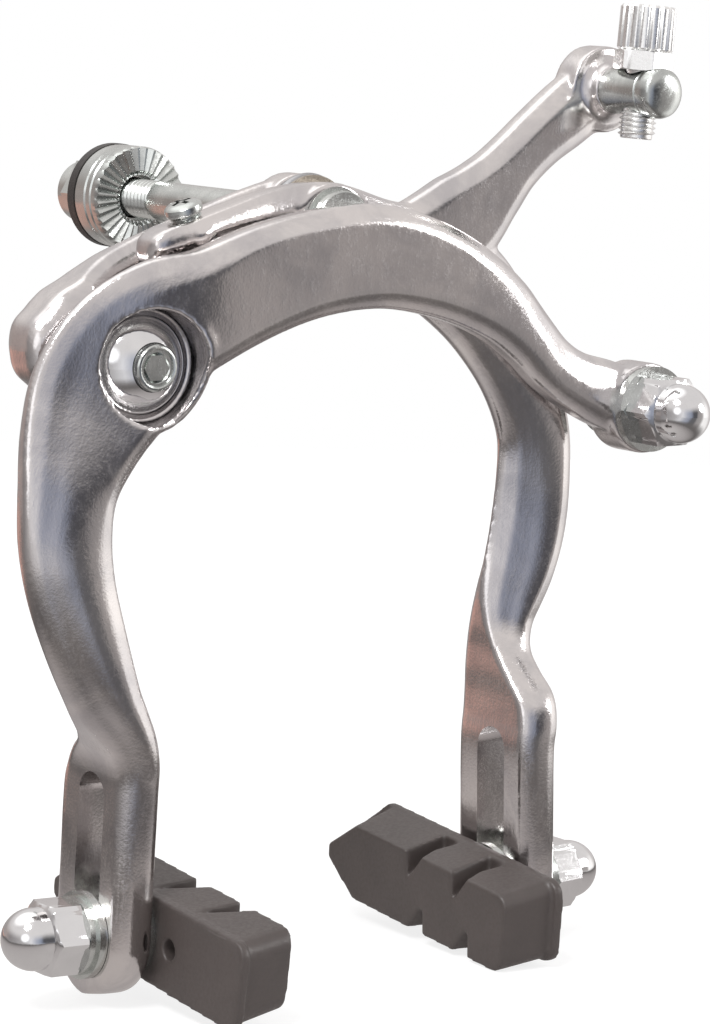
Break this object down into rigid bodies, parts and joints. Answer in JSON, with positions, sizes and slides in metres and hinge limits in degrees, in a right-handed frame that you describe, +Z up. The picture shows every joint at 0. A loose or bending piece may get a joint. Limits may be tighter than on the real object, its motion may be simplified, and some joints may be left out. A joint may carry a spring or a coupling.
{
  "type": "dual-pivot caliper brake",
  "caption": "Long-reach dual-pivot caliper brake with forged polished arms, slotted legs, rubber pads on studs, a cable adjuster and a long mounting bolt.",
  "frame": {"origin": "on the mounting bolt's axis, at the bridge's rear face, where the bicycle's frame or fork seats", "axes": "+X to the right seen from the front of the brake, +Y backwards along the mounting bolt into the frame, +Z up"},
  "size_m": [0.1153, 0.0975, 0.1432],
  "materials": {
    "polished_alloy": "polished",
    "zinc_steel": "zinc plated",
    "dark_steel": "drawn wire",
    "dome_chrome": "bright plated",
    "bronze": "plain",
    "dark_rubber": "matt",
    "pad_rubber": "matt moulded",
    "bright_alloy": "turned"
  },
  "bodies": {
    "bridge": {"bridge": "polished_alloy", "mounting_bolt": "zinc_steel", "pivot_washer": "zinc_steel", "centre_thrust_washer": "bronze", "return_spring": "dark_steel", "serrated_washer": "zinc_steel", "spacer_washer": "zinc_steel", "rubber_washer": "dark_rubber", "mounting_nut": "zinc_steel", "side_pivot_bolt": "dome_chrome", "side_pivot_screw": "zinc_steel", "side_thrust_washer": "bronze"},
    "front_arm": {"front_arm": "polished_alloy", "side_bush": "bronze", "anchor_bolt": "zinc_steel", "anchor_washer": "zinc_steel", "anchor_nut": "dome_chrome"},
    "rear_arm": {"rear_arm": "polished_alloy", "centre_bush": "bronze"},
    "link_screw": {"link_screw": "zinc_steel"},
    "trunnion": {"trunnion": "bright_alloy", "adjuster_lock_nut": "bright_alloy"},
    "adjuster": {"adjuster_barrel": "bright_alloy"},
    "left_pad_nut": {"left_washers": "zinc_steel", "left_acorn_nut": "dome_chrome"},
    "left_pad": {"left_pad": "pad_rubber", "left_pad_stud": "zinc_steel"},
    "right_pad_nut": {"right_washers": "zinc_steel", "right_acorn_nut": "dome_chrome"},
    "right_pad": {"right_pad": "pad_rubber", "right_pad_stud": "zinc_steel"}
  },
  "joints": [
    {"name": "front_arm_pivot", "type": "hinge", "parent": "bridge", "child": "front_arm", "pos_m": [-0.0347, -0.01252, -0.0191], "axis": [0, -1, 0], "range_deg": [0, 10.5], "stiffness_Nm_per_rad": 1, "springref_deg": -8.59},
    {"name": "rear_arm_pivot", "type": "hinge", "parent": "bridge", "child": "rear_arm", "pos_m": [0, -0.01252, 0], "axis": [0, 1, 0], "range_deg": [0, 8], "deforming": ["return_spring"]},
    {"name": "link_screw_travel", "type": "slide", "parent": "rear_arm", "child": "link_screw", "axis": [-0.342, 0, 0.9397], "range_m": [0, 0.002]},
    {"name": "trunnion_swivel", "type": "hinge", "parent": "rear_arm", "child": "trunnion", "pos_m": [0.0504, -0.01252, 0.0193], "axis": [0, 1, 0], "range_deg": [-15, 15]},
    {"name": "adjuster_travel", "type": "slide", "parent": "trunnion", "child": "adjuster", "axis": [0.0785, 0, 0.9969], "range_m": [0, 0.005]},
    {"name": "left_pad_height", "type": "slide", "parent": "front_arm", "child": "left_pad_nut", "axis": [0.0349, 0, 0.9994], "range_m": [-0.0012, 0.0163]},
    {"name": "left_pad_turn", "type": "hinge", "parent": "left_pad_nut", "child": "left_pad", "pos_m": [-0.03321, -0.01252, -0.1007], "axis": [0.9994, 0, -0.0349], "range_deg": [-12, 12]},
    {"name": "right_pad_height", "type": "slide", "parent": "rear_arm", "child": "right_pad_nut", "axis": [-0.0349, 0, 0.9994], "range_m": [0, 0.0163]},
    {"name": "right_pad_turn", "type": "hinge", "parent": "right_pad_nut", "child": "right_pad", "pos_m": [0.03324, -0.01252, -0.1018], "axis": [0.9994, 0, 0.0349], "range_deg": [-12, 12]}
  ],
  "couplings": [
    {"joint": "rear_arm_pivot", "follows": "front_arm_pivot", "ratio": 0.741}
  ]
}
